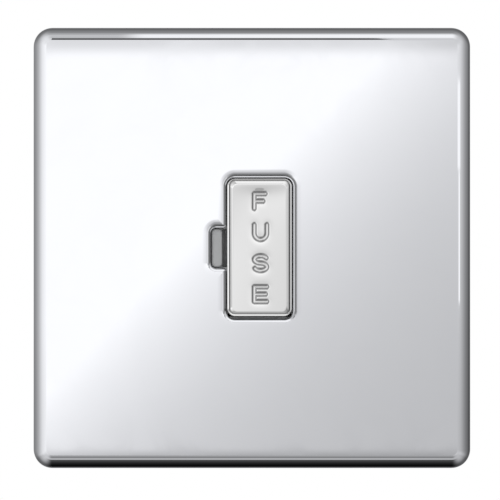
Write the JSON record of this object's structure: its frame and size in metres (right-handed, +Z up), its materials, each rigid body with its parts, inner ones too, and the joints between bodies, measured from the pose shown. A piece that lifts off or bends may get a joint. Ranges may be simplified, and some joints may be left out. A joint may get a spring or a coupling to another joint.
{
  "type": "fused spur unit",
  "caption": "Square polished wall plate with rolled edges over a clip-on frame, with an upright pull-out fuse carrier and rear screw terminals for feeding a fixed appliance.",
  "frame": {"origin": "centre of the plate on the wall plane, midway between the two fixing screws", "axes": "+X to the right as seen from the room, +Y into the wall, +Z up"},
  "size_m": [0.095, 0.0284, 0.0958],
  "materials": {
    "polished_chrome": "polished",
    "grey_moulding": "satin",
    "black_liner": "satin",
    "gasket_rubber": "matte",
    "zinc_steel": "satin",
    "plated_steel": "satin",
    "brass": "satin",
    "spring_bronze": "satin",
    "fuse_ceramic": "satin",
    "fuse_cap_metal": "polished"
  },
  "bodies": {
    "module": {"mounting_frame": "zinc_steel", "wall_gasket": "gasket_rubber", "front_moulding": "grey_moulding", "rear_moulding": "grey_moulding", "supply_fuse_clip": "brass", "load_fuse_clip": "brass", "neutral_link": "brass", "earth_strap": "brass", "earth_spring": "spring_bronze", "earth_spring_rivet": "brass", "frame_rivets": "plated_steel", "housing_screw_left": "plated_steel", "housing_screw_right": "plated_steel", "fixing_screw_left": "plated_steel", "fixing_screw_right": "plated_steel", "neutral_supply_terminal": "brass", "live_supply_terminal": "brass", "earth_supply_terminal": "brass", "neutral_load_terminal": "brass", "live_load_terminal": "brass", "earth_load_terminal": "brass"},
    "cover_plate": {"front_plate": "polished_chrome", "plate_liner": "black_liner"},
    "fuse_carrier": {"carrier_cap": "polished_chrome", "carrier_body": "grey_moulding", "fuse_tube": "fuse_ceramic", "fuse_cap_upper": "fuse_cap_metal", "fuse_cap_lower": "fuse_cap_metal"},
    "neutral_supply_clamp_screw": {"neutral_supply_screw": "plated_steel"},
    "live_supply_clamp_screw": {"live_supply_screw": "plated_steel"},
    "earth_supply_clamp_screw": {"earth_supply_screw": "plated_steel"},
    "neutral_load_clamp_screw": {"neutral_load_screw": "plated_steel"},
    "live_load_clamp_screw": {"live_load_screw": "plated_steel"},
    "earth_load_clamp_screw": {"earth_load_screw": "plated_steel"}
  },
  "joints": [
    {"name": "carrier_pull", "type": "slide", "parent": "module", "child": "fuse_carrier", "axis": [0, -1, 0], "range_m": [0, 0.011]},
    {"name": "plate_unclip", "type": "slide", "parent": "module", "child": "cover_plate", "axis": [0, -1, 0], "range_m": [0, 0.025]},
    {"name": "neutral_supply_clamp", "type": "slide", "parent": "module", "child": "neutral_supply_clamp_screw", "axis": [0, -1, 0], "range_m": [0, 0.0036]},
    {"name": "live_supply_clamp", "type": "slide", "parent": "module", "child": "live_supply_clamp_screw", "axis": [0, -1, 0], "range_m": [0, 0.0036]},
    {"name": "earth_supply_clamp", "type": "slide", "parent": "module", "child": "earth_supply_clamp_screw", "axis": [0, -1, 0], "range_m": [0, 0.0036]},
    {"name": "neutral_load_clamp", "type": "slide", "parent": "module", "child": "neutral_load_clamp_screw", "axis": [0, -1, 0], "range_m": [0, 0.0036]},
    {"name": "live_load_clamp", "type": "slide", "parent": "module", "child": "live_load_clamp_screw", "axis": [0, -1, 0], "range_m": [0, 0.0036]},
    {"name": "earth_load_clamp", "type": "slide", "parent": "module", "child": "earth_load_clamp_screw", "axis": [0, -1, 0], "range_m": [0, 0.0036]}
  ]
}
